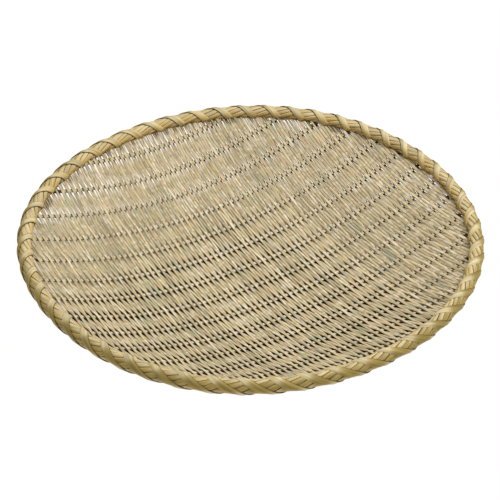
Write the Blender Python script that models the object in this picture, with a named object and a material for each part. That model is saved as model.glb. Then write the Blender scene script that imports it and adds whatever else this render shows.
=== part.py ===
"""Round shallow bamboo draining basket: a plain-woven dish held in a rim of two hoops, bound crosswise.

Parallel stakes cross the dish. Fine weft strips run square to them, each strip to and fro along four rows.
The edge of the weave lies between two hoops and a filler ring. A bundle of strands winds round them one
way and a broad band winds over it the other way. Metres, +Z up, origin under the middle of the base.
"""

import math

import bmesh
import bpy
from mathutils import Vector

MM = 0.001

# The dish, measured to the middle of the weave and of the rim
DISH_DIAMETER = 349 * MM
BOWL_DEPTH = 42 * MM
BASE_RADIUS = 20.5 * MM
BOWL_CURVE_POWER = 1.93

# The stakes, and how far they are turned from +X in plan
STAKE_COUNT = 14
STAKE_WIDTH = 3.8 * MM
STAKE_THICKNESS = 1.0 * MM
STAKE_MARGIN = 12 * MM
STAKE_STEP = 22 * MM
STAKE_ANGLE = math.radians(31)

# The wefts
STRIP_COUNT = 35
ROWS_PER_STRIP = 4
WEFT_THICKNESS = 0.8 * MM
WEFT_GAP = 0.34 * MM
WEFT_MARGIN = 2 * MM
TURN_RISE_SHARE = 0.5
LAND_LENGTH = 3.2 * MM

# The hoops and the filler between them
HOOP_THICKNESS = 1.2 * MM
HOOP_CLEARANCE = 0.55 * MM
CORE_BACK = 0.9 * MM
RIM_STEPS = 60

# The two layers bound round the rim. Each turn moves on by two passes, and the turns between fill in on a
# second round. Widths are shares of the distance from pass to pass, and of the full width for the pinch
BINDING_PASSES = 51
PASSES_PER_TURN = 2
BUNDLE_THICKNESS = 0.6 * MM
BUNDLE_WIDTH_SHARE = 0.46
BAND_THICKNESS = 0.6 * MM
BAND_WIDTH_SHARE = 0.42
PINCH_SHARE = 0.5
RIM_SIDES = 6

# The gap between neighbouring pieces
CLEARANCE = 0.3 * MM

# Colours as red, green and blue
WEFT_COLOURS = ((0.60, 0.49, 0.31), (0.66, 0.52, 0.35), (0.55, 0.50, 0.34), (0.63, 0.53, 0.36))
STAKE_COLOUR = (0.58, 0.49, 0.33)
HOOP_COLOUR = (0.52, 0.42, 0.25)
BUNDLE_COLOUR = (0.56, 0.47, 0.27)
BAND_COLOUR = (0.60, 0.50, 0.28)
WEAVE_ROUGHNESS = 0.6
RIM_ROUGHNESS = 0.45
SHARP_EDGE = math.radians(30)

dish_radius = DISH_DIAMETER / 2
dish_run = dish_radius - BASE_RADIUS
rim_tilt = math.atan2(BOWL_CURVE_POWER * BOWL_DEPTH, dish_run)
side_angle = 2 * math.pi / RIM_SIDES
pass_angle = 2 * math.pi / BINDING_PASSES


def corner(apothem):
    """From the rim's centre line to a corner of its section, for flat sides at this distance."""
    return apothem / math.cos(side_angle / 2)


# A weft slopes off the stake at once, so in the middle it rides higher than the two thicknesses alone ask
rough_pitch = 2 * (dish_radius - STAKE_MARGIN) / (STAKE_COUNT - 1)
crossing_height = (STAKE_THICKNESS / 2 + CLEARANCE + WEFT_THICKNESS / 2) / (1 - STAKE_WIDTH / rough_pitch)
weave_half = crossing_height + WEFT_THICKNESS / 2
base_level = weave_half

# The rim's layers, from the weave outwards
hoop_inner = weave_half + HOOP_CLEARANCE
hoop_outer = hoop_inner + HOOP_THICKNESS
bundle_inner = hoop_outer + CLEARANCE
bundle_outer = bundle_inner + BUNDLE_THICKNESS
band_inner = bundle_outer + CLEARANCE
band_outer = band_inner + BAND_THICKNESS

# Where the woven strips end: short of the binding, or between its passes and up to the filler
clear_radius = dish_radius - (corner(band_outer) + CLEARANCE) * math.cos(rim_tilt)
inside_radius = dish_radius - (corner(bundle_inner) - CLEARANCE) * math.cos(rim_tilt)
field_radius = dish_radius - (CORE_BACK + CLEARANCE) * math.cos(rim_tilt)

# From its pinched bend the binding widens and drifts along the rim until it is clear of the weave
bend_share = weave_half / bundle_inner
pass_width_share = BUNDLE_WIDTH_SHARE * (PINCH_SHARE + (1 - PINCH_SHARE) * bend_share)
binding_drift = pass_angle * PASSES_PER_TURN / RIM_SIDES * bend_share
blocked_angle = pass_angle * pass_width_share / 2 + binding_drift + CLEARANCE / clear_radius

stake_pitch = 2 * (clear_radius - STAKE_MARGIN) / (STAKE_COUNT - 1)
stake_places = [(index - (STAKE_COUNT - 1) / 2) * stake_pitch for index in range(STAKE_COUNT)]
row_count = STRIP_COUNT * ROWS_PER_STRIP
row_pitch = 2 * (clear_radius - WEFT_MARGIN) / row_count
weft_width = row_pitch - WEFT_GAP
turn_standoff = (STAKE_WIDTH + weft_width) / 2 + 2 * CLEARANCE


def clear_scene():
    for old in list(bpy.data.objects):
        bpy.data.objects.remove(old, do_unlink=True)


def make_material(name, colour, roughness):
    material = bpy.data.materials.new(name)
    material.use_nodes = True
    shader = material.node_tree.nodes["Principled BSDF"]
    shader.inputs["Base Color"].default_value = (*colour, 1)
    shader.inputs["Roughness"].default_value = roughness
    shader.inputs["Metallic"].default_value = 0
    return material


def make_empty(name, height, turn):
    empty = bpy.data.objects.new(name, None)
    empty.location.z = height
    empty.rotation_euler.z = turn
    bpy.context.scene.collection.objects.link(empty)
    return empty


def make_sweep(name, rings, closed, parent, colour, roughness):
    """One solid through the rings of points, either closed on itself or with flat ends."""
    bm = bmesh.new()
    loops = [[bm.verts.new(point) for point in ring] for ring in rings]
    sides = len(loops[0])
    following = loops[1:] + loops[:1] if closed else loops[1:]
    for loop, next_loop in zip(loops, following):
        for side in range(sides):
            after = (side + 1) % sides
            bm.faces.new((loop[side], loop[after], next_loop[after], next_loop[side]))
    if not closed:
        bm.faces.new(loops[0])
        bm.faces.new(loops[-1])
    bmesh.ops.recalc_face_normals(bm, faces=bm.faces)
    mesh = bpy.data.meshes.new(name)
    bm.to_mesh(mesh)
    bm.free()
    mesh.shade_smooth()
    mesh.set_sharp_from_angle(angle=SHARP_EDGE)
    mesh.materials.append(make_material(name, colour, roughness))
    piece = bpy.data.objects.new(name, mesh)
    piece.parent = parent
    bpy.context.scene.collection.objects.link(piece)
    return piece


def dish_point(along, across, lift):
    """A point this far from the middle surface of the dish, with +X along the stakes."""
    radius = math.hypot(along, across)
    share = max(0, (radius - BASE_RADIUS) / dish_run)
    height = base_level + BOWL_DEPTH * share**BOWL_CURVE_POWER
    slope = BOWL_CURVE_POWER * BOWL_DEPTH / dish_run * share ** (BOWL_CURVE_POWER - 1)
    lean = slope / radius if share else 0
    normal = Vector((-lean * along, -lean * across, 1)).normalized()
    return Vector((along, across, height)) + normal * lift


def binding_blocks(angle):
    """Whether the binding passes through the weave at this angle round the rim."""
    passes = angle / pass_angle
    return abs(passes - round(passes)) * pass_angle < blocked_angle


def end_reach(edges, heading):
    """How far a strip with these edges, left of the middle, may run this way before the rim stops it."""
    widest = max(abs(edge) for edge in edges)
    for edge in edges:
        for radius in (clear_radius, (clear_radius + inside_radius) / 2, inside_radius):
            if binding_blocks(heading + math.asin(edge / radius)):
                return math.sqrt(clear_radius**2 - widest**2)
    return math.sqrt(field_radius**2 - widest**2)


def make_stake(index, parent):
    place = stake_places[index]
    edges = (place - STAKE_WIDTH / 2, place + STAKE_WIDTH / 2)
    finish = end_reach(edges, STAKE_ANGLE)
    start = -end_reach([-edge for edge in edges], STAKE_ANGLE + math.pi)
    steps = math.ceil((finish - start) / STAKE_STEP)
    rings = []
    for step in range(steps + 1):
        along = start + (finish - start) * step / steps
        under = [dish_point(along, edge, -STAKE_THICKNESS / 2) for edge in edges]
        over = [dish_point(along, edge, STAKE_THICKNESS / 2) for edge in reversed(edges)]
        rings.append(under + over)
    make_sweep(f"stake_{index + 1:02d}", rings, False, parent, STAKE_COLOUR, WEAVE_ROUGHNESS)


def row_place(row):
    return (row - (row_count - 1) / 2) * row_pitch


def row_end(rows, side):
    """How far from the middle these neighbouring rows end or turn, clear of the rim and of every stake."""
    edges = (row_place(rows[0]) - weft_width / 2, row_place(rows[-1]) + weft_width / 2)
    end = end_reach([-side * edge for edge in edges], STAKE_ANGLE + side * math.pi / 2) - weft_width / 2
    for place in stake_places:
        if abs(end - place) < turn_standoff:
            end = place - turn_standoff
    return end


def crossing_lift(row, stake):
    """The weft passes over this stake or under it, and its neighbours the other way."""
    return crossing_height if (row + stake) % 2 == 0 else -crossing_height


def weft_section(left, right, lift):
    """Three points: a flat underside from the left edge to the right one, and a ridge over its middle."""
    middle = ((left[0] + right[0]) / 2, (left[1] + right[1]) / 2)
    return [
        dish_point(*left, lift - WEFT_THICKNESS / 2),
        dish_point(*right, lift - WEFT_THICKNESS / 2),
        dish_point(*middle, lift + WEFT_THICKNESS / 2),
    ]


def row_sections(row, heading, first_stop, last_stop):
    """Sections of one row at the stakes that it crosses, and the lifts that it starts and ends with."""
    stakes = [index for index, place in enumerate(stake_places) if first_stop < heading * place < last_stop]
    stakes = stakes[::heading]
    sections = []
    for stake in stakes:
        lift = crossing_lift(row, stake)
        place = stake_places[stake]
        on_base = math.hypot(row_place(row), place) < BASE_RADIUS - LAND_LENGTH / 2
        half_land = LAND_LENGTH / 2 if on_base and lift < 0 else 0
        for across in sorted({place - half_land, place + half_land}, key=lambda value: heading * value):
            left = (row_place(row) - heading * weft_width / 2, across)
            right = (row_place(row) + heading * weft_width / 2, across)
            sections.append(weft_section(left, right, lift))
    return sections, crossing_lift(row, stakes[0]), crossing_lift(row, stakes[-1])


def turn_section(row, side, end, leaves, lift):
    """A mitred corner where a strip leaves a row for the next one, or comes into it."""
    outer = (row_place(row) + (-leaves) * weft_width / 2, side * (end + weft_width / 2))
    inner = (row_place(row) + leaves * weft_width / 2, side * (end - weft_width / 2))
    left, right = (outer, inner) if side > 0 else (inner, outer)
    return weft_section(left, right, lift * TURN_RISE_SHARE)


def tip_section(row, heading, across, lift):
    left = (row_place(row) - heading * weft_width / 2, across)
    right = (row_place(row) + heading * weft_width / 2, across)
    return weft_section(left, right, lift * TURN_RISE_SHARE)


def make_weft(index, parent):
    """One strip that runs to and fro along its rows, and turns at their ends."""
    rows = list(range(index * ROWS_PER_STRIP, (index + 1) * ROWS_PER_STRIP))
    rings = []
    for row in rows:
        heading = 1 if (row - rows[0]) % 2 == 0 else -1
        comes_from = [row - 1, row] if row > rows[0] else [row]
        goes_to = [row, row + 1] if row < rows[-1] else [row]
        start = row_end(comes_from, -heading)
        finish = row_end(goes_to, heading)
        sections, first_lift, last_lift = row_sections(row, heading, -start, finish)
        if row == rows[0]:
            rings.append(tip_section(row, heading, -heading * start, first_lift))
        else:
            rings.append(turn_section(row, -heading, start, -1, first_lift))
        rings += sections
        if row == rows[-1]:
            rings.append(tip_section(row, heading, heading * finish, last_lift))
        else:
            rings.append(turn_section(row, heading, finish, 1, last_lift))
    colour = WEFT_COLOURS[index % len(WEFT_COLOURS)]
    make_sweep(f"weft_{index + 1:02d}", rings, False, parent, colour, WEAVE_ROUGHNESS)


def rim_point(angle, outward, upward):
    """A point of the rim's section, which leans with the edge of the dish and has its centre at no height."""
    radius = dish_radius + outward * math.cos(rim_tilt) - upward * math.sin(rim_tilt)
    height = outward * math.sin(rim_tilt) + upward * math.cos(rim_tilt)
    return Vector((radius * math.cos(angle), radius * math.sin(angle), height))


def make_ring(name, section, parent, colour):
    rings = []
    for step in range(RIM_STEPS):
        angle = 2 * math.pi * step / RIM_STEPS
        rings.append([rim_point(angle, outward, upward) for outward, upward in section])
    make_sweep(name, rings, True, parent, colour, RIM_ROUGHNESS)


def make_hoops_and_core(parent):
    """Two hoops that fill the six-sided section above and below the weave, and a filler outside its edge."""
    slant = math.tan(math.pi / 2 - side_angle)
    top = corner(hoop_outer) / 2
    bottom = corner(hoop_outer) - hoop_inner * slant
    upper = [(-bottom, hoop_inner), (bottom, hoop_inner), (top, hoop_outer), (-top, hoop_outer)]
    lower = [(outward, -upward) for outward, upward in upper]
    make_ring("inner_hoop", upper, parent, HOOP_COLOUR)
    make_ring("outer_hoop", lower, parent, HOOP_COLOUR)
    half = hoop_inner - CLEARANCE
    front = corner(hoop_outer) - half * slant
    filler = [(-CORE_BACK, -half), (front, -half), (front, half), (-CORE_BACK, half)]
    make_ring("rim_core", filler, parent, HOOP_COLOUR)


def binding_width_share(bend):
    """Full width all round the rim, but pinched at the bend where it passes through the weave."""
    return PINCH_SHARE if bend % RIM_SIDES == RIM_SIDES // 2 else 1


def make_binding(name, inner, outer, width_share, direction, ridged, parent, colour):
    """An endless strip wound round the rim, with a bend at each corner of the six-sided section."""
    rings = []
    for bend in range(BINDING_PASSES * RIM_SIDES):
        round_rim = direction * pass_angle * PASSES_PER_TURN * (bend / RIM_SIDES - 0.5)
        round_section = side_angle * bend
        outward, upward = math.cos(round_section), math.sin(round_section)
        low, high = corner(inner), corner(outer)
        half_width = pass_angle * width_share * binding_width_share(bend) / 2
        under = [rim_point(round_rim + side, low * outward, low * upward) for side in (-half_width, half_width)]
        sides = (0,) if ridged else (half_width, -half_width)
        over = [rim_point(round_rim + side, high * outward, high * upward) for side in sides]
        rings.append(under + over)
    make_sweep(name, rings, True, parent, colour, RIM_ROUGHNESS)


def make_weave():
    weave = make_empty("weave", 0, STAKE_ANGLE)
    for index in range(STAKE_COUNT):
        make_stake(index, weave)
    for index in range(STRIP_COUNT):
        make_weft(index, weave)


def make_rim():
    rim = make_empty("rim", base_level + BOWL_DEPTH, 0)
    make_hoops_and_core(rim)
    make_binding("rim_bundle", bundle_inner, bundle_outer, BUNDLE_WIDTH_SHARE, 1, True, rim, BUNDLE_COLOUR)
    make_binding("rim_band", band_inner, band_outer, BAND_WIDTH_SHARE, -1, False, rim, BAND_COLOUR)


clear_scene()
make_weave()
make_rim()
bpy.context.view_layer.update()
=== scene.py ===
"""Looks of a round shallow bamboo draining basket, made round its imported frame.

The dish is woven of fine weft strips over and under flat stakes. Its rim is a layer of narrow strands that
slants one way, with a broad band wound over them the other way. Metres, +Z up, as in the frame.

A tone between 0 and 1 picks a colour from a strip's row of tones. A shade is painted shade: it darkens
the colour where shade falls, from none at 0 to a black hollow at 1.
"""

import math

import bpy
import numpy as np
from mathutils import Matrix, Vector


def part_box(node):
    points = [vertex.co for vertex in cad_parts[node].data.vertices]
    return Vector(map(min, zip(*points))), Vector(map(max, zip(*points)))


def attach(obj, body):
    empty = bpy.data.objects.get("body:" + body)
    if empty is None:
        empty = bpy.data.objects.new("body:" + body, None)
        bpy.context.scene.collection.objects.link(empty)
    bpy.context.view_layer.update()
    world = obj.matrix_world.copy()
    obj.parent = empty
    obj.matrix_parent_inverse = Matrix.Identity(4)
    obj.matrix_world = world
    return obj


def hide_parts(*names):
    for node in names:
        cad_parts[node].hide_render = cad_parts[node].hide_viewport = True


MM = 0.001
FULL_TURN = 2 * math.pi
RANDOM_SEED = 31
WAVES_PER_CURVE = 4

# The dish, as in the frame: measured to the middle of the weave and of the rim
DISH_DIAMETER = 349 * MM
BOWL_DEPTH = 42 * MM
BASE_RADIUS = 20.5 * MM
BOWL_CURVE_POWER = 1.93
SMALLEST_RADIUS = 0.001 * MM

# A rim bent by hand isn't a true circle: waves round it, the height of each and the angle of a crest
OUT_OF_ROUND = (
    (2, 0.55 * MM, math.radians(38)),
    (3, 0.6 * MM, math.radians(43)),
    (4, 1.3 * MM, math.radians(-9)),
)

# The weave is tight in the middle of the dish. It loosens from the first radius to the second
LOOSENING_RADII = (60 * MM, 165 * MM)
STRIP_REACH = 172 * MM

# The stakes
STAKE_ANGLE = math.radians(31)
STAKE_COUNT = 14
STAKE_WIDTH = 3.4 * MM
STAKE_THICKNESS = 1.1 * MM
STAKE_WAVE = 0.25 * MM
STAKE_STEP = 0.6 * MM

# The wefts. Widths are where one passes over a stake, between two stakes, and under one. Sections are at
# these distances from the middle of each stake
STRIP_COUNT = 35
ROWS_PER_STRIP = 4
ROW_COUNT = STRIP_COUNT * ROWS_PER_STRIP
WEFT_THICKNESS = 0.72 * MM
TIGHT_WIDTHS = (2.52 * MM, 2.46 * MM, 2.16 * MM)
LOOSE_WIDTHS = (2.46 * MM, 2.5 * MM, 2.12 * MM)
CROSSING_HEIGHT = 1.12 * MM
CROSSING_SHARPNESS = 2.4
UNDER_SHIFT = 0.1 * MM
WEFT_SECTIONS = (0, 1.2 * MM, 2 * MM, 3 * MM, 4.4 * MM, 6.4 * MM, 8.8 * MM, 11.2 * MM)
SHORTEST_END = 0.5 * MM

# Some wefts narrow towards an end by a share, but not those at the two sides of the dish, past this place
LOOSE_END_CHANCE = 0.14
LOOSE_END_SHARE = 0.45
LOOSE_END_REACH = 22 * MM
LOOSE_END_PLACE = 140 * MM

# How far the strips vary, in waves between this short and this long
WEFT_WIDTH_SPREAD_SHARE = 0.07
WEFT_WIDTH_WAVE_SHARE = 0.035
WEFT_WIDTH_WAVES = (30 * MM, 200 * MM)
STAKE_WIDTH_WAVE_SHARE = 0.07
STAKE_WAVES = (50 * MM, 300 * MM)
WANDER = 0.1 * MM
WANDER_WAVES = (40 * MM, 250 * MM)
ROLL = math.radians(5)
ROLL_WAVES = (30 * MM, 150 * MM)
LIFT_SPREAD = 0.05 * MM
LIFT_WAVES = (20 * MM, 100 * MM)

# Tones of the weave: each row's own, the part it shares with a neighbour, waves along the row, and patches
ROW_TONE_START = 0.2
SHARED_TONE_SPREAD = 0.3
OWN_TONE_SPREAD = 0.3
OUTERMOST_TONE = 0.5
TONE_WAVE_SPREAD = 0.35
TONE_WAVES = (14 * MM, 200 * MM)
PATCH_COUNT = 6
PATCH_LENGTH = 22 * MM
PATCH_LENGTH_SHARES = (0.6, 1.6)
PATCH_STRETCH_SHARE = 0.6
PATCH_TONE_SPREAD = 0.4
STAKE_TONE_LIMITS = (0.4, 1)
LOOSE_STAKE_TONE = 0.1

# Painted shade round a weft's section, where shade falls at its edges and below: an edge, three places over
# the top, the other edge, and three below
TIGHT_WEFT_SHADES = np.array([0.85, 0.1, 0, 0.1, 0.85, 0.6, 0.1, 0.6])
LOOSE_WEFT_SHADES = np.array([0.55, 0.03, 0, 0.03, 0.55, 0.6, 0.1, 0.6])

# Painted shade in pockets where a weft dives under a stake, from their start to their reach on both sides of
# the stake's middle. A pair is in the tight middle and near the rim. On the far side one edge has a tail as
# its reach, and near the rim the pockets there have a share of their shade
POCKET_SHADE = 0.97
POCKET_START = 2.1 * MM
NEAR_POCKET_REACHES = (3.2 * MM, 3.8 * MM)
FAR_POCKET_REACH = 3.1 * MM
POCKET_TAILS = (9.5 * MM, 4.6 * MM)
POCKET_TAIL_POWER = 1.5
LOOSE_FAR_SHARE = 0.85

# Painted light: a weft is lighter in the middle of the dish, with a painted highlight where it passes over a
# stake, between these distances from the stake's middle
CREST_HIGHLIGHT_GAIN = 0.08
CREST_HIGHLIGHT_REACHES = (3.6 * MM, 1.2 * MM)
CENTRE_LIGHT_GAIN = 0.08

# Painted shade on a stake: its edges and underside, and its top before and past each weft below it, where
# the wefts over it shade it, from the first to the second of the limits, in rows from that weft's middle
STAKE_EDGE_SHADE = 0.95
STAKE_BEFORE_SHADE = 0.3
STAKE_BEFORE_LIMITS = (-0.3, -0.5)
STAKE_PAST_SHADE = 0.92
STAKE_PAST_LIMITS = (0.2, 0.45)

# Painted shade on the strips' ends where they run in under the rim: slight or deep, by chance
UNDER_RIM_RADII = (164 * MM, 166.6 * MM)
UNDER_RIM_SHADES = (0.2, 0.97)
UNDER_RIM_CHANCE = 0.55
UNDER_RIM_MIDDLE_SHARE = 0.3

# The rim: a layer of narrow strands and a broad band over it, wound round the hoops in opposite directions.
# Returns are how often each goes round the whole dish before it meets its own start
STRAND_PASSES = 51
STRAND_RETURNS = 4
STRAND_STEPS_PER_PASS = 32
STRAND_RADIUS = 4.7 * MM
STRAND_THICKNESS = 0.8 * MM
STRAND_CROWN = 0.25 * MM
STRAND_EDGE_SHARES = (0, 0.48, 1)
STRAND_EDGE_WANDER_SHARE = 0.075
STRAND_EDGE_WAVES = (7, 16, 23, 31)
STRAND_GAP = 0.04 * MM
STRAND_GAP_SPREAD = 0.14 * MM
BAND_PASSES = 51
BAND_RETURNS = 2
BAND_STEPS_PER_PASS = 40
BAND_RADIUS = 5.3 * MM
BAND_WIDTH = 6.3 * MM
BAND_THICKNESS = 0.7 * MM
BAND_CROWN = 0.65 * MM
BAND_ROLL = 0.3 * MM
BAND_ROLL_SPREAD_SHARE = 0.5
BAND_ROLL_WAVES = (13, 31, 59)

# A wound strip leans less where it faces up and inwards, by a share, or more where the share is below zero.
# The strands do so at two places round the dish: the share, the place's angle and a power that narrows it
LEAN_ANGLE = math.radians(135)
BAND_LEAN_SHARE = 0.33
STRAND_LEANS = ((0.5, math.radians(185), 4), (-0.4, math.radians(270), 2))

# Seams between the strands: waves along the winding that open and close them, their painted shade where
# closed and where open, and where round the dish they are faint. The band has painted shade at each edge
SEAM_WAVES = (23, 47, 83, 131)
SEAM_START = 0.4
SEAM_POWER = 3
SEAM_SHADES = (0.08, 0.9)
FAINT_SEAM_ANGLE = math.radians(175)
FAINT_SEAM_SHARE = 0.75
BAND_EDGE_SHADES = (0.15, 0.95)

# Tones of the rim. Random ones use this share of a row of tones. The last tone, darker, is painted shade on
# the rim's outer side, and the first, golden, is painted warm light on its inner side, at these angles round
# the rim's section from straight outwards
STRAND_TONE_LIMITS = (0.3, 0.7)
STRAND_TONE_SPREAD = 0.5
STRAND_TONE_WAVES = (19, 37, 61, 89)
BAND_TONE_MIDDLE = 0.5
BAND_TONE_SPREAD = 0.4
BAND_TONE_WAVES = (9, 27, 45, 77)
RANDOM_TONE_SHARE = 0.67
OUTER_ANGLE = math.radians(-6)
OUTER_REACH = math.radians(80)
INNER_ANGLE = math.radians(160)
INNER_LIMITS = (0.5, 1)

# Painted shade on the rim's lower inner side, where it meets the weave, darker in the later tones
BELOW_ANGLE = math.radians(207)
BELOW_LIMITS = (0.7, 0.88)
BELOW_SHADES = (0.25, 0.95)

# The hoops inside the binding: the middle of each section outwards and upwards, its width and its thickness
HOOPS = {
    "inner_hoop": (-0.4 * MM, 2.3 * MM, 6 * MM, 2.2 * MM),
    "outer_hoop": (-0.4 * MM, -2.3 * MM, 6 * MM, 2.2 * MM),
    "rim_core": (2.2 * MM, 0, 2.6 * MM, 2.2 * MM),
}
HOOP_STEPS = 360

# The grain of split bamboo: cells for each metre along and across a strip, and the noise's detail. Each strip
# has its own place in the grain, with a gap in metres to the next strip's
FIBRE_NOISE = (70, 3200, 3)
STREAK_NOISE = (9, 420, 2)
NOISE_LIMITS = (0.25, 0.75)
GRAIN_REACH = 10
GRAIN_GAP = 1
ROUGHNESS_SPREAD = 0.08
BUMP_STRENGTH = 0.3
BUMP_HEIGHT = 0.1 * MM

# The bamboo of each kind of strip, with the colour of its painted shade
FINISHES = {
    "weft": {
        "tones": (
            (0.47, 0.43, 0.28),
            (0.59, 0.50, 0.29),
            (0.64, 0.50, 0.30),
            (0.48, 0.39, 0.22),
            (0.72, 0.62, 0.45),
            (0.56, 0.48, 0.28),
            (0.63, 0.48, 0.28),
            (0.60, 0.51, 0.32),
        ),
        "painted_shade_colour": (0.032, 0.014, 0.001),
        "roughness": 0.65,
        "gloss": 0.07,
        "fibre_contrast": 0.2,
        "streak_contrast": 0.28,
    },
    "stake": {
        "tones": ((0.61, 0.51, 0.30), (0.79, 0.70, 0.54)),
        "painted_shade_colour": (0.032, 0.014, 0.001),
        "roughness": 0.6,
        "gloss": 0.1,
        "fibre_contrast": 0.1,
        "streak_contrast": 0.1,
    },
    "strand": {
        "tones": ((0.65, 0.47, 0.18), (0.67, 0.54, 0.30), (0.61, 0.49, 0.25), (0.42, 0.30, 0.085)),
        "painted_shade_colour": (0.05, 0.028, 0.006),
        "roughness": 0.5,
        "gloss": 0.16,
        "fibre_contrast": 0.22,
        "streak_contrast": 0.26,
    },
    "band": {
        "tones": ((0.65, 0.48, 0.19), (0.67, 0.56, 0.32), (0.62, 0.51, 0.27), (0.36, 0.26, 0.07)),
        "painted_shade_colour": (0.05, 0.028, 0.006),
        "roughness": 0.5,
        "gloss": 0.16,
        "fibre_contrast": 0.2,
        "streak_contrast": 0.26,
    },
    "hoop": {
        "tones": ((0.3, 0.22, 0.1), (0.34, 0.25, 0.12)),
        "painted_shade_colour": (0.05, 0.03, 0.01),
        "roughness": 0.6,
        "gloss": 0.15,
        "fibre_contrast": 0.1,
        "streak_contrast": 0.1,
    },
}

# The floor, which glows white like a light table. Under the dish its glow has the basket's shadow painted
# in: warm light further back, dim nearer the viewer and black nearest. Its own colour is near black, as
# painted shade. Radii and reaches are where each change starts and ends
WHITE = (1, 1, 1)
BLACK = (0, 0, 0)
FLOOR_RADIUS = 4
FLOOR_SIDES = 96
FLOOR_COLOUR = (0.03, 0.015, 0.001)
SHADE_CENTRE = (0, 60 * MM, 0)
SHADE_RADII = (180 * MM, 188 * MM)
WARM_COLOUR = (1, 0.91, 0.77)
WARM_RADII = (105 * MM, 186 * MM)
FOOT_CENTRE = (20 * MM, -330 * MM, 0)
FOOT_RADII = (418 * MM, 468 * MM)
DIM_COLOUR = (0.42, 0.35, 0.23)
DIM_REACHES = (70 * MM, 150 * MM)
DIM_WIDTH_SHARE = 0.9
DIM_ROUNDING = 30 * MM

# The light
WORLD_STRENGTH = 0.28
KEY_PLACE = (0.55, 0.15, 1.55)
KEY_SIZE = 0.9
KEY_POWER = 24

# The photograph's view, with pixel places in its square frame
PICTURE_SIDE = 500
FOCAL_PIXELS = 1613.3
SENSOR_WIDTH = 36
CAMERA_DISTANCE = 1260 * MM
CAMERA_ELEVATION = math.radians(37.1)
RIM_CENTRE_PIXEL = (250.9, 233.6)

dish_radius = DISH_DIAMETER / 2
dish_run = dish_radius - BASE_RADIUS
rim_tilt = math.atan2(BOWL_CURVE_POWER * BOWL_DEPTH, dish_run)
random = np.random.default_rng(RANDOM_SEED)

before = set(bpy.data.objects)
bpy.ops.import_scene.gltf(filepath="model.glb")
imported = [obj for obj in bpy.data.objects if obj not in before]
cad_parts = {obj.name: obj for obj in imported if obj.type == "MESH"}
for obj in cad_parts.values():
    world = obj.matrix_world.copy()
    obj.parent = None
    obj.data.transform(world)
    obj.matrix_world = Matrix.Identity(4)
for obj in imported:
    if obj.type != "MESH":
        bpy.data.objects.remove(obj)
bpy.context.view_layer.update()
rim_height = (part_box("outer_hoop")[0].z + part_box("inner_hoop")[1].z) / 2
base_level = rim_height - BOWL_DEPTH


def middle_of_node(name, direction):
    """Where a strip's middle lies along this direction in plan."""
    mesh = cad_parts[name].data
    places = np.empty(len(mesh.vertices) * 3)
    mesh.vertices.foreach_get("co", places)
    reach = places.reshape(-1, 3)[:, :2] @ direction
    return (reach.min() + reach.max()) / 2


along_stakes = np.array([math.cos(STAKE_ANGLE), math.sin(STAKE_ANGLE)])
along_wefts = np.array([-math.sin(STAKE_ANGLE), math.cos(STAKE_ANGLE)])
stake_places = [middle_of_node(f"stake_{index + 1:02d}", along_wefts) for index in range(STAKE_COUNT)]
stake_pitch = (stake_places[-1] - stake_places[0]) / (STAKE_COUNT - 1)
strip_places = [middle_of_node(f"weft_{index + 1:02d}", along_stakes) for index in range(STRIP_COUNT)]
row_pitch = (strip_places[-1] - strip_places[0]) / (STRIP_COUNT - 1) / ROWS_PER_STRIP


def smooth_step(start, end, value):
    """A share that rises smoothly from 0 at the start to 1 at the end."""
    share = np.clip((value - start) / (end - start), 0, 1)
    return share * share * (3 - 2 * share)


def mixed(first, second, share):
    return first + (second - first) * share


def slow_wave(places, shortest, longest):
    """A gentle random curve between about -1 and 1 along these places."""
    total = np.zeros_like(places)
    for length in np.geomspace(shortest, longest, WAVES_PER_CURVE):
        total += np.sin(FULL_TURN * (places / length + random.random()))
    return total / math.sqrt(WAVES_PER_CURVE / 2) / 2


def round_wave(steps, counts):
    """A random curve between about -1 and 1 that closes on itself, with these counts of waves."""
    turn = FULL_TURN * np.arange(steps) / steps
    total = sum(np.sin(count * turn + FULL_TURN * random.random()) for count in counts)
    return total / math.sqrt(2 * len(counts))


def looseness_at(place, reach):
    """How loose the weave is, from 0 in the middle of the dish to 1 near the rim."""
    return smooth_step(*LOOSENING_RADII, np.hypot(place, reach))


def row_place(row):
    """Where a row's middle lies along the stakes."""
    return (row - (ROW_COUNT - 1) / 2) * row_pitch


def out_of_round(angle):
    """How far the hand-bent rim stands outside its true circle."""
    return sum(height * np.cos(waves * (angle - crest)) for waves, height, crest in OUT_OF_ROUND)


def dish_points(along, across, lift):
    """Points this far from the middle surface of the dish, with the stakes running along."""
    radius = np.maximum(np.hypot(along, across), SMALLEST_RADIUS)
    share = np.maximum(0, (radius - BASE_RADIUS) / dish_run)
    height = base_level + BOWL_DEPTH * share**BOWL_CURVE_POWER
    slope = BOWL_CURVE_POWER * BOWL_DEPTH / dish_run * share ** (BOWL_CURVE_POWER - 1)
    size = np.sqrt(1 + slope**2)
    x = along * (1 - lift * slope / radius / size)
    y = across * (1 - lift * slope / radius / size)
    turned_x = x * along_stakes[0] + y * along_wefts[0]
    turned_y = x * along_stakes[1] + y * along_wefts[1]
    stretch = 1 + out_of_round(np.arctan2(turned_y, turned_x)) * radius / dish_radius**2
    return np.stack([turned_x * stretch, turned_y * stretch, height + lift / size], axis=-1)


def rim_points(angle, outward, upward):
    """Points of the rim's section, which leans with the edge of the dish."""
    radius = dish_radius + out_of_round(angle) + outward * math.cos(rim_tilt) - upward * math.sin(rim_tilt)
    height = rim_height + outward * math.sin(rim_tilt) + upward * math.cos(rim_tilt)
    return np.stack(np.broadcast_arrays(radius * np.cos(angle), radius * np.sin(angle), height), axis=-1)


# A strip's rounded section: shares of half its width and of half its thickness. A weft's edges are rounder
STRIP_ACROSS_SHARES = np.array([-1, -0.8, 0, 0.8, 1, 0.8, 0, -0.8])
STRIP_UP_SHARES = np.array([0, 0.8, 1, 0.8, 0, -0.8, -1, -0.8])
WEFT_ACROSS_SHARES = np.array([-1, -0.75, 0, 0.75, 1, 0.75, 0, -0.75])


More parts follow.
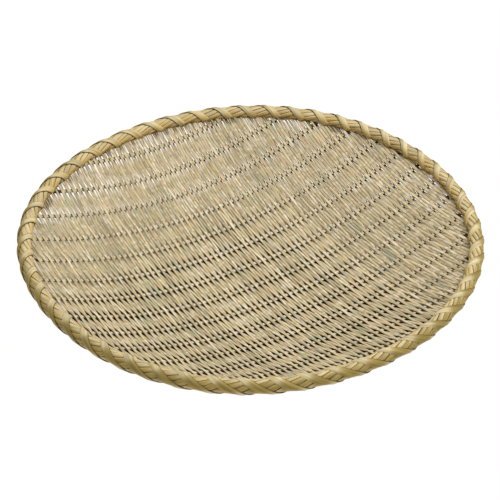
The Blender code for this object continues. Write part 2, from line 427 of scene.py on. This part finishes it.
class Sweep:
    """Sections of points along a strip, with what its surface needs to know at each point."""

    # A point's shade is painted shade, and its crest is painted light
    def __init__(self, points, length, closed, tone, painted_shade, crest=0):
        self.points = points
        self.length = length
        self.closed = closed
        self.tone = np.broadcast_to(tone, points.shape[:2])
        self.painted_shade = np.broadcast_to(painted_shade, points.shape[:2])
        self.crest = np.broadcast_to(crest, points.shape[:2])


def corner_places(sweep, rings):
    """How far along and across the strip the corners of its four-sided faces lie, ring after ring."""
    sections, sides = sweep.points.shape[:2]
    along = np.repeat(sweep.length * np.arange(sections + 1)[:, None] / sections, sides, axis=1)
    girth = np.linalg.norm(np.roll(sweep.points, -1, axis=1) - sweep.points, axis=2).mean(axis=0)
    across = np.concatenate([[0], np.cumsum(girth)])
    low, high = along[:rings], along[1 : rings + 1]
    left = np.broadcast_to(across[:-1], low.shape)
    right = np.broadcast_to(across[1:], low.shape)
    return np.stack([low, left, low, right, high, right, high, left], axis=-1).reshape(-1, 4, 2)


def faces_look_out(points, quads):
    """Whether the faces round a strip turn away from its middle line."""
    corners = points.reshape(-1, 3)[quads]
    normal = np.cross(corners[:, 2] - corners[:, 0], corners[:, 3] - corners[:, 1])
    middles = np.broadcast_to(points.mean(axis=1, keepdims=True), points.shape).reshape(-1, 3)[quads]
    return (normal * (corners - middles).mean(axis=1)).sum() > 0


def sweep_faces(sweep, grain_place):
    """A strip's faces, and the place of their corners in the grain. An open strip has a face at each end."""
    sections, sides = sweep.points.shape[:2]
    grid = np.arange(sections * sides).reshape(sections, sides)
    beside = np.roll(grid, -1, axis=1)
    following, beside_following = np.roll(grid, -1, axis=0), np.roll(beside, -1, axis=0)
    rings = sections if sweep.closed else sections - 1
    quads = np.stack([grid, beside, beside_following, following], axis=-1)[:rings].reshape(-1, 4)
    places = corner_places(sweep, rings)
    ends = [] if sweep.closed else [grid[0][::-1], grid[-1]]
    if not faces_look_out(sweep.points, quads):
        quads, places = quads[:, ::-1], places[:, ::-1]
        ends = [end[::-1] for end in ends]
    end_places = np.zeros((len(ends) * sides, 2))
    return [*quads, *ends], np.concatenate([places.reshape(-1, 2) + [grain_place, 0], end_places])


def make_piece(name, sweeps, material, node):
    """One object from its strips. It stands for its CAD node, and rides on the basket's one body."""
    grain_place = random.random() * GRAIN_REACH
    points, faces, places = [], [], []
    start = 0
    for sweep in sweeps:
        strip_faces, face_places = sweep_faces(sweep, grain_place)
        points.append(sweep.points.reshape(-1, 3))
        faces += [(start + face).tolist() for face in strip_faces]
        places.append(face_places)
        grain_place += sweep.length + GRAIN_GAP
        start += len(points[-1])
    mesh = bpy.data.meshes.new(name)
    mesh.from_pydata(np.concatenate(points).tolist(), [], faces)
    mesh.uv_layers.new(name="strip").data.foreach_set("uv", np.concatenate(places).ravel())
    for value in ("tone", "painted_shade", "crest"):
        attribute = mesh.attributes.new(value, "FLOAT", "POINT")
        values = [getattr(sweep, value).ravel() for sweep in sweeps]
        attribute.data.foreach_set("value", np.concatenate(values))
    mesh.shade_smooth()
    mesh.materials.append(material)
    piece = bpy.data.objects.new(name, mesh)
    bpy.context.scene.collection.objects.link(piece)
    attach(piece, "root")
    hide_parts(node)


def make_row_tones():
    """Random tones that neighbouring rows partly share, because one long strip fills several rows.

    The last tone is that of the one more row at each side of the dish, whose numbers are -1 and ROW_COUNT.
    """
    shared = np.repeat(random.random(ROW_COUNT // 2 + 1), 2)[1 : ROW_COUNT + 1]
    tones = ROW_TONE_START + SHARED_TONE_SPREAD * shared + OWN_TONE_SPREAD * random.random(ROW_COUNT)
    return np.append(tones, OUTERMOST_TONE)


def make_patch_waves():
    """Random waves over the dish: the length of each, where it starts and the way it runs."""
    waves = []
    for _ in range(PATCH_COUNT):
        length = PATCH_LENGTH * random.uniform(*PATCH_LENGTH_SHARES)
        start = random.random()
        waves.append((length, start, random.uniform(0, math.pi)))
    return waves


row_tones = make_row_tones()
patch_waves = make_patch_waves()


def patch_tone(along, across):
    """Tone between about -1 and 1 that drifts over the dish in patches, longer along the wefts."""
    total = 0
    for length, start, way in patch_waves:
        reach = along * math.cos(way) + across * math.sin(way) * PATCH_STRETCH_SHARE
        total = total + np.sin(FULL_TURN * (reach / length + start))
    return total / math.sqrt(2 * len(patch_waves))


def under_rim_shade(place, reach):
    """Painted shade on a strip's two ends under the rim, deep at some and slight at others."""
    chance = UNDER_RIM_CHANCE * (1 - (place / STRIP_REACH) ** 2)
    slight, deep = UNDER_RIM_SHADES
    first_depth, last_depth = np.where(random.random(2) < chance, deep, slight)
    depth = np.where(np.arange(reach.size) < reach.size / 2, first_depth, last_depth)
    return (depth * smooth_step(*UNDER_RIM_RADII, np.hypot(place, reach)))[:, None]


def weft_places(reach):
    """Where a weft's sections are: its two ends, and the same places on both sides of every stake."""
    stakes = stake_places[0] + stake_pitch * np.arange(-1, STAKE_COUNT + 1)[:, None]
    offsets = np.array(WEFT_SECTIONS)
    across = np.unique(np.concatenate([(stakes + offsets).ravel(), (stakes - offsets).ravel()]))
    return np.concatenate([[-reach], across[np.abs(across) < reach - SHORTEST_END], [reach]])


def weft_width(place, across, height, looseness):
    """A weft's width. It changes at each crossing and along the row, and some of the ends are narrow."""
    widths = zip(TIGHT_WIDTHS, LOOSE_WIDTHS)
    over, between, under = (mixed(tight, loose, looseness) for tight, loose in widths)
    width = between + (over - between) * np.maximum(height, 0) + (under - between) * np.maximum(-height, 0)
    row_spread = WEFT_WIDTH_SPREAD_SHARE * random.normal()
    width = width * (1 + row_spread + WEFT_WIDTH_WAVE_SHARE * slow_wave(across, *WEFT_WIDTH_WAVES))
    for end in (across[0], across[-1]):
        loose = LOOSE_END_SHARE * (random.random() < LOOSE_END_CHANCE) * (abs(place) < LOOSE_END_PLACE)
        width = width * (1 - loose * smooth_step(LOOSE_END_REACH, 0, np.abs(across - end)))
    return width


def weft_points(place, across, height, width):
    """Points round a weft's sections. It wanders, rolls and lifts a little along the row."""
    middle = place + WANDER * slow_wave(across, *WANDER_WAVES) + UNDER_SHIFT * np.minimum(height, 0)
    roll = ROLL * slow_wave(across, *ROLL_WAVES)[:, None]
    lift = CROSSING_HEIGHT * height + LIFT_SPREAD * slow_wave(across, *LIFT_WAVES)
    side = WEFT_ACROSS_SHARES * width[:, None] / 2
    up = STRIP_UP_SHARES * WEFT_THICKNESS / 2
    beside = middle[:, None] + side * np.cos(roll) - up * np.sin(roll)
    above = lift[:, None] + side * np.sin(roll) + up * np.cos(roll)
    return dish_points(beside, across[:, None], above)


def weft_painted_shade(place, across, height, past_stake, looseness):
    """Painted shade at a weft's edges, in the pockets beside the stakes it dives under, and under the rim."""
    looseness, past_stake = looseness[:, None], past_stake[:, None]
    tail = mixed(*POCKET_TAILS, looseness)
    far_reach = mixed(FAR_POCKET_REACH, tail, np.maximum(WEFT_ACROSS_SHARES, 0) ** POCKET_TAIL_POWER)
    near_reach = mixed(*NEAR_POCKET_REACHES, looseness)
    pocket_reach = np.where(past_stake > 0, far_reach, near_reach)
    pocket = POCKET_SHADE * smooth_step(pocket_reach, POCKET_START, np.abs(past_stake))
    far_share = np.where(past_stake > 0, mixed(1, LOOSE_FAR_SHARE, looseness), 1)
    pocket = pocket * (height < 0)[:, None] * far_share
    painted_shade = np.maximum(mixed(TIGHT_WEFT_SHADES, LOOSE_WEFT_SHADES, looseness), pocket)
    profile = mixed(UNDER_RIM_MIDDLE_SHARE, 1, np.abs(WEFT_ACROSS_SHARES))
    return np.maximum(painted_shade, under_rim_shade(place, across) * profile)


def weft_sweep(row):
    """One row of weft from rim to rim, over and under the stakes."""
    place = row_place(row)
    reach = math.sqrt(STRIP_REACH**2 - place**2)
    across = weft_places(reach)
    looseness = looseness_at(place, across)
    phase = np.cos(math.pi * (across - stake_places[0]) / stake_pitch) * (1 if row % 2 == 0 else -1)
    height = np.sign(phase) * np.abs(phase) ** CROSSING_SHARPNESS
    past_stake = (across - stake_places[0] + stake_pitch / 2) % stake_pitch - stake_pitch / 2
    width = weft_width(place, across, height, looseness)
    points = weft_points(place, across, height, width)
    painted_shade = weft_painted_shade(place, across, height, past_stake, looseness)
    tone = row_tones[row] + TONE_WAVE_SPREAD * slow_wave(across, *TONE_WAVES)
    tone = tone + PATCH_TONE_SPREAD * patch_tone(place, across)
    # Painted highlight where the weft passes over a stake, and painted light in the middle of the dish
    crest = CREST_HIGHLIGHT_GAIN * smooth_step(*CREST_HIGHLIGHT_REACHES, np.abs(past_stake)) * (height > 0)
    crest = crest + CENTRE_LIGHT_GAIN * (1 - looseness)
    return Sweep(points, 2 * reach, False, tone[:, None], painted_shade, crest[:, None])


def stake_sweep(index):
    """One stake, a flat strip with rounded edges that waves a little over and under the wefts."""
    place = stake_places[index]
    reach = math.sqrt(STRIP_REACH**2 - place**2)
    along = np.linspace(-reach, reach, math.ceil(2 * reach / STAKE_STEP))
    width = STAKE_WIDTH * (1 + STAKE_WIDTH_WAVE_SHARE * slow_wave(along, *STAKE_WAVES))
    middle = place + WANDER * slow_wave(along, *STAKE_WAVES)
    rows = (along - row_place(0)) / row_pitch + index
    wave = -STAKE_WAVE * np.cos(math.pi * rows)
    side = middle[:, None] + STRIP_ACROSS_SHARES * width[:, None] / 2
    points = dish_points(along[:, None], side, wave[:, None] + STRIP_UP_SHARES * STAKE_THICKNESS / 2)
    # Painted shade at the stake's edges and underside, beside the wefts over it, and under the rim
    past_weft = (rows % 2 - 1)[:, None]
    before = STAKE_BEFORE_SHADE * smooth_step(*STAKE_BEFORE_LIMITS, past_weft)
    past = STAKE_PAST_SHADE * smooth_step(*STAKE_PAST_LIMITS, past_weft)
    painted_shade = np.maximum(STAKE_EDGE_SHADE * (STRIP_UP_SHARES <= 0), under_rim_shade(place, along))
    painted_shade = np.maximum(painted_shade, np.maximum(before, past))
    tone = mixed(mixed(*STAKE_TONE_LIMITS, random.random()), LOOSE_STAKE_TONE, looseness_at(place, along))
    return Sweep(points, 2 * reach, False, tone[:, None], painted_shade)


class Winding:
    """A strip's way round the rim's section and on round the dish, in steps, until it meets its own start.

    The direction is 1 or -1, and the radius is in the rim's section.
    """

    def __init__(self, passes, returns, steps_per_pass, direction, radius):
        self.passes = passes
        self.returns = returns
        self.steps = passes * steps_per_pass
        self.direction = direction
        self.radius = radius
        self.turn = FULL_TURN * np.arange(self.steps) / steps_per_pass
        self.length = FULL_TURN * math.hypot(passes * radius, returns * dish_radius)

    def angle(self, start, lean_share):
        """Angle of each step round the dish."""
        advance = self.direction * self.returns / self.passes
        return start + advance * (self.turn - lean_share * np.sin(self.turn - LEAN_ANGLE))

    def slant(self, lean_share):
        """Angle between the strip and the rim at each step."""
        advance = self.returns / self.passes * (1 - lean_share * np.cos(self.turn - LEAN_ANGLE))
        return np.arctan2(self.radius, advance * dish_radius)


strand_winding = Winding(STRAND_PASSES, STRAND_RETURNS, STRAND_STEPS_PER_PASS, 1, STRAND_RADIUS)
band_winding = Winding(BAND_PASSES, BAND_RETURNS, BAND_STEPS_PER_PASS, -1, BAND_RADIUS)


def rim_tone(tone, turn):
    """A wound strip's tone: its own, but the first one on the rim's inner side and the last on its outer."""
    # The first tone is painted warm light on the inner side, and the last painted shade on the outer side
    outer = smooth_step(math.cos(OUTER_REACH), 1, np.cos(turn - OUTER_ANGLE))
    tone = tone * (1 - smooth_step(*INNER_LIMITS, np.cos(turn - INNER_ANGLE)))
    return mixed(RANDOM_TONE_SHARE * tone, 1, outer)[:, None]


def rim_painted_shade(tone, turn, edge_shades):
    """Painted shade on a wound strip at its two edges and below, and on the rim's lower inner side."""
    first, second = (np.broadcast_to(shade, turn.shape)[:, None] for shade in edge_shades)
    edge = np.where(STRIP_ACROSS_SHARES < 0, first, second) * (STRIP_UP_SHARES <= 0)
    below = mixed(*BELOW_SHADES, tone) * smooth_step(*BELOW_LIMITS, np.cos(turn - BELOW_ANGLE))
    return np.maximum(edge, below[:, None])


def wound_sweep(winding, start, lean_share, width, thickness, crown, roll, tone, edge_shades):
    """An endless strip wound round the rim's section, lying on it across its whole width."""
    slant = winding.slant(lean_share)[:, None]
    side = STRIP_ACROSS_SHARES * np.broadcast_to(width, winding.steps)[:, None] / 2
    forward = winding.direction * side * np.sin(slant)
    round_rim = winding.angle(start, lean_share)[:, None] - forward / dish_radius
    round_section = winding.turn[:, None] + side * np.cos(slant) / winding.radius
    out = winding.radius + STRIP_UP_SHARES * thickness / 2 + crown * (1 - STRIP_ACROSS_SHARES**2)
    out = out + np.broadcast_to(roll, winding.steps)[:, None] * STRIP_ACROSS_SHARES
    points = rim_points(round_rim, out * np.cos(round_section), out * np.sin(round_section))
    tone = np.clip(tone, 0, 1)
    painted_shade = rim_painted_shade(tone, winding.turn, edge_shades)
    return Sweep(points, winding.length, True, rim_tone(tone, winding.turn), painted_shade)


def wandering_edges():
    """Shares of a pass where one strand ends and the next begins. The inner ones wander along the rim."""
    edges = []
    for share in STRAND_EDGE_SHARES:
        wander = STRAND_EDGE_WANDER_SHARE * round_wave(strand_winding.steps, STRAND_EDGE_WAVES)
        edges.append(share + wander * (share not in (0, 1)))
    return edges


def strand_sweeps():
    """The strands of one bundle side by side."""
    steps = strand_winding.steps
    angle = STRAND_RETURNS * FULL_TURN * np.arange(steps) / steps
    faint = FAINT_SEAM_SHARE * np.maximum(0, np.cos(angle - FAINT_SEAM_ANGLE))
    lean_share = 0
    for share, place, power in STRAND_LEANS:
        lean_share = lean_share + share * np.maximum(0, np.cos(angle - place)) ** power
    pass_angle = FULL_TURN / STRAND_PASSES
    spacing = pass_angle * dish_radius * np.sin(strand_winding.slant(lean_share))
    edges = wandering_edges()
    for low, high in zip(edges, edges[1:]):
        start = pass_angle * (low + high) / 2
        # Painted shade in the seam, deeper where it opens
        seam = (1 - faint) * np.clip(SEAM_START + round_wave(steps, SEAM_WAVES), 0, 1) ** SEAM_POWER
        width = (high - low) * spacing - STRAND_GAP - STRAND_GAP_SPREAD * seam
        tone = random.uniform(*STRAND_TONE_LIMITS) + STRAND_TONE_SPREAD * round_wave(steps, STRAND_TONE_WAVES)
        shade = mixed(*SEAM_SHADES, seam)
        yield wound_sweep(strand_winding, start, lean_share, width, STRAND_THICKNESS, STRAND_CROWN, 0, tone,
                          (shade, shade))


def band_sweep():
    """The broad band, tilted a little about its middle line. It starts at the middle of the bundle."""
    start = math.pi / BAND_PASSES
    roll = BAND_ROLL * (1 + BAND_ROLL_SPREAD_SHARE * round_wave(band_winding.steps, BAND_ROLL_WAVES))
    tone = BAND_TONE_MIDDLE + BAND_TONE_SPREAD * round_wave(band_winding.steps, BAND_TONE_WAVES)
    return wound_sweep(band_winding, start, BAND_LEAN_SHARE, BAND_WIDTH, BAND_THICKNESS, BAND_CROWN, roll,
                       tone, BAND_EDGE_SHADES)


def hoop_sweep(outward, upward, width, thickness):
    """A hoop of the rim with rounded edges."""
    angle = FULL_TURN * np.arange(HOOP_STEPS)[:, None] / HOOP_STEPS
    across = outward + STRIP_ACROSS_SHARES * width / 2
    points = rim_points(angle, across, upward + STRIP_UP_SHARES * thickness / 2)
    return Sweep(points, FULL_TURN * dish_radius, True, random.random(), 0)


def link(tree, outlet, inlet):
    tree.links.new(outlet, inlet)


def bamboo_material(name, tones, painted_shade_colour, roughness, gloss, fibre_contrast, streak_contrast):
    """Split bamboo: tones differing from strip to strip, fine fibres along them, painted shade and light."""
    material = bpy.data.materials.new(name)
    material.use_nodes = True
    tree = material.node_tree
    shader = tree.nodes["Principled BSDF"]
    shader.inputs["Metallic"].default_value = 0
    shader.inputs["Specular IOR Level"].default_value = gloss
    place = tree.nodes.new("ShaderNodeUVMap")
    place.uv_map = "strip"

    def noise(along, across, detail):
        stretch = tree.nodes.new("ShaderNodeMapping")
        stretch.inputs["Scale"].default_value = (along, across, 1)
        link(tree, place.outputs["UV"], stretch.inputs["Vector"])
        texture = tree.nodes.new("ShaderNodeTexNoise")
        texture.noise_dimensions = "2D"
        texture.inputs["Scale"].default_value = 1
        texture.inputs["Detail"].default_value = detail
        link(tree, stretch.outputs["Vector"], texture.inputs["Vector"])
        return texture.outputs["Fac"]

    def attribute(value):
        node = tree.nodes.new("ShaderNodeAttribute")
        node.attribute_name = value
        return node.outputs["Fac"]

    def spread(source, middle, reach):
        """Values this far on both sides of the middle one, from a noise."""
        node = tree.nodes.new("ShaderNodeMapRange")
        node.inputs["From Min"].default_value = NOISE_LIMITS[0]
        node.inputs["From Max"].default_value = NOISE_LIMITS[1]
        node.inputs["To Min"].default_value = middle - reach
        node.inputs["To Max"].default_value = middle + reach
        link(tree, source, node.inputs["Value"])
        return node.outputs["Result"]

    def multiply(colour, factor):
        node = tree.nodes.new("ShaderNodeVectorMath")
        node.operation = "SCALE"
        link(tree, colour, node.inputs[0])
        link(tree, factor, node.inputs["Scale"])
        return node.outputs["Vector"]

    ramp = tree.nodes.new("ShaderNodeValToRGB")
    ramp.color_ramp.elements.remove(ramp.color_ramp.elements[1])
    for index, tone in enumerate(tones):
        position = index / (len(tones) - 1)
        element = ramp.color_ramp.elements[0] if index == 0 else ramp.color_ramp.elements.new(position)
        element.position = position
        element.color = (*tone, 1)
    link(tree, attribute("tone"), ramp.inputs["Fac"])
    fibres = noise(*FIBRE_NOISE)
    streaks = noise(*STREAK_NOISE)
    colour = multiply(ramp.outputs["Color"], spread(fibres, 1, fibre_contrast))
    colour = multiply(colour, spread(streaks, 1, streak_contrast))
    # Painted light: the crest lightens the colour as a painted highlight
    brightness = tree.nodes.new("ShaderNodeMath")
    brightness.operation = "ADD"
    brightness.inputs[1].default_value = 1
    link(tree, attribute("crest"), brightness.inputs[0])
    colour = multiply(colour, brightness.outputs["Value"])
    # Painted shade: the colour darkens towards the shade colour where shade falls
    hollow = tree.nodes.new("ShaderNodeMix")
    hollow.data_type = "RGBA"
    link(tree, attribute("painted_shade"), hollow.inputs["Factor"])
    link(tree, colour, hollow.inputs["A"])
    hollow.inputs["B"].default_value = (*painted_shade_colour, 1)
    link(tree, hollow.outputs["Result"], shader.inputs["Base Color"])
    link(tree, spread(streaks, roughness, ROUGHNESS_SPREAD), shader.inputs["Roughness"])
    bump = tree.nodes.new("ShaderNodeBump")
    bump.inputs["Strength"].default_value = BUMP_STRENGTH
    bump.inputs["Distance"].default_value = BUMP_HEIGHT
    link(tree, fibres, bump.inputs["Height"])
    link(tree, bump.outputs["Normal"], shader.inputs["Normal"])
    return material


def rows_of_strip(index):
    """The rows of one weft strip. The two outermost strips have one more, which fills the gap to the rim."""
    first = index * ROWS_PER_STRIP - (index == 0)
    past_last = (index + 1) * ROWS_PER_STRIP + (index == STRIP_COUNT - 1)
    return range(first, past_last)


def make_basket():
    bamboo = {kind: bamboo_material(f"{kind}_bamboo", **finish) for kind, finish in FINISHES.items()}
    for index in range(STRIP_COUNT):
        node = f"weft_{index + 1:02d}"
        sweeps = [weft_sweep(row) for row in rows_of_strip(index)]
        make_piece(f"woven_{node}", sweeps, bamboo["weft"], node)
    for index in range(STAKE_COUNT):
        node = f"stake_{index + 1:02d}"
        make_piece(f"woven_{node}", [stake_sweep(index)], bamboo["stake"], node)
    make_piece("wound_strands", list(strand_sweeps()), bamboo["strand"], "rim_bundle")
    make_piece("wound_band", [band_sweep()], bamboo["band"], "rim_band")
    for name, section in HOOPS.items():
        make_piece(f"bent_{name}", [hoop_sweep(*section)], bamboo["hoop"], name)


def floor_material():
    """A white glow with the basket's shadow painted in, where the floor shows through the weave."""
    material = bpy.data.materials.new("floor_white")
    material.use_nodes = True
    tree = material.node_tree
    shader = tree.nodes["Principled BSDF"]
    shader.inputs["Base Color"].default_value = (*FLOOR_COLOUR, 1)
    shader.inputs["Roughness"].default_value = 1
    shader.inputs["Specular IOR Level"].default_value = 0
    shader.inputs["Emission Strength"].default_value = 1
    place = tree.nodes.new("ShaderNodeTexCoord")
    parts = tree.nodes.new("ShaderNodeSeparateXYZ")
    link(tree, place.outputs["Object"], parts.inputs["Vector"])

    def risen(value, limits):
        share = tree.nodes.new("ShaderNodeMapRange")
        share.interpolation_type = "SMOOTHSTEP"
        share.inputs["From Min"].default_value = limits[0]
        share.inputs["From Max"].default_value = limits[1]
        link(tree, value, share.inputs["Value"])
        return share.outputs["Result"]

    def distance_from(centre):
        distance = tree.nodes.new("ShaderNodeVectorMath")
        distance.operation = "DISTANCE"
        distance.inputs[1].default_value = centre
        link(tree, place.outputs["Object"], distance.inputs[0])
        return distance.outputs["Value"]

    def calculated(operation, *sources):
        node = tree.nodes.new("ShaderNodeMath")
        node.operation = operation
        for inlet, source in zip(node.inputs, sources):
            if isinstance(source, float):
                inlet.default_value = source
            else:
                link(tree, source, inlet)
        return node.outputs["Value"]

    def blended(share, *colours):
        """A mix of two colours, each a constant or the result of another mix."""
        node = tree.nodes.new("ShaderNodeMix")
        node.data_type = "RGBA"
        link(tree, share, node.inputs["Factor"])
        for inlet, colour in zip((node.inputs["A"], node.inputs["B"]), colours):
            if isinstance(colour, tuple):
                inlet.default_value = (*colour, 1)
            else:
                link(tree, colour, inlet)
        return node.outputs["Result"]

    # The basket's painted shadow: black to dim near the viewer, warm light further back, white outside it
    squared = calculated("MULTIPLY", parts.outputs["X"], parts.outputs["X"])
    sideways = calculated("SQRT", calculated("ADD", squared, DIM_ROUNDING**2))
    reach = calculated("MULTIPLY_ADD", sideways, DIM_WIDTH_SHARE, parts.outputs["Y"])
    dim = blended(risen(reach, DIM_REACHES), BLACK, DIM_COLOUR)
    warm = blended(risen(distance_from(SHADE_CENTRE), WARM_RADII), WARM_COLOUR, WHITE)
    shade = blended(risen(distance_from(FOOT_CENTRE), FOOT_RADII), dim, warm)
    glow = blended(risen(distance_from(SHADE_CENTRE), SHADE_RADII), shade, WHITE)
    link(tree, glow, shader.inputs["Emission Color"])
    return material


def make_floor():
    bpy.ops.mesh.primitive_circle_add(
        vertices=FLOOR_SIDES, radius=FLOOR_RADIUS, fill_type="NGON", location=(0, 0, 0)
    )
    floor = bpy.context.object
    floor.name = "floor"
    floor.data.materials.append(floor_material())


def make_light(name, place, size, power):
    """A square soft light that faces the basket."""
    light = bpy.data.lights.new(name, "AREA")
    light.shape = "SQUARE"
    light.size = size
    light.energy = power
    lamp = bpy.data.objects.new(name, light)
    lamp.location = place
    lamp.rotation_euler = (-lamp.location).to_track_quat("-Z", "Y").to_euler()
    bpy.context.scene.collection.objects.link(lamp)


def make_studio():
    scene = bpy.context.scene
    scene.view_settings.view_transform = "Standard"
    world = bpy.data.worlds.new("studio")
    world.use_nodes = True
    world.node_tree.nodes["Background"].inputs["Color"].default_value = (*WHITE, 1)
    world.node_tree.nodes["Background"].inputs["Strength"].default_value = WORLD_STRENGTH
    scene.world = world
    make_light("key_light", KEY_PLACE, KEY_SIZE, KEY_POWER)


def make_camera():
    """The photograph's viewing angle and framing, from the camera fitted to its rim and stakes."""
    camera = bpy.data.cameras.new("camera")
    camera.sensor_width = SENSOR_WIDTH
    camera.lens = FOCAL_PIXELS / PICTURE_SIDE * SENSOR_WIDTH
    camera.shift_x = (PICTURE_SIDE / 2 - RIM_CENTRE_PIXEL[0]) / PICTURE_SIDE
    camera.shift_y = (RIM_CENTRE_PIXEL[1] - PICTURE_SIDE / 2) / PICTURE_SIDE
    viewer = bpy.data.objects.new("camera", camera)
    away = CAMERA_DISTANCE * math.cos(CAMERA_ELEVATION)
    viewer.location = (0, -away, rim_height + CAMERA_DISTANCE * math.sin(CAMERA_ELEVATION))
    viewer.rotation_euler = (math.pi / 2 - CAMERA_ELEVATION, 0, 0)
    bpy.context.scene.collection.objects.link(viewer)
    bpy.context.scene.camera = viewer


make_camera()
make_basket()
make_floor()
make_studio()
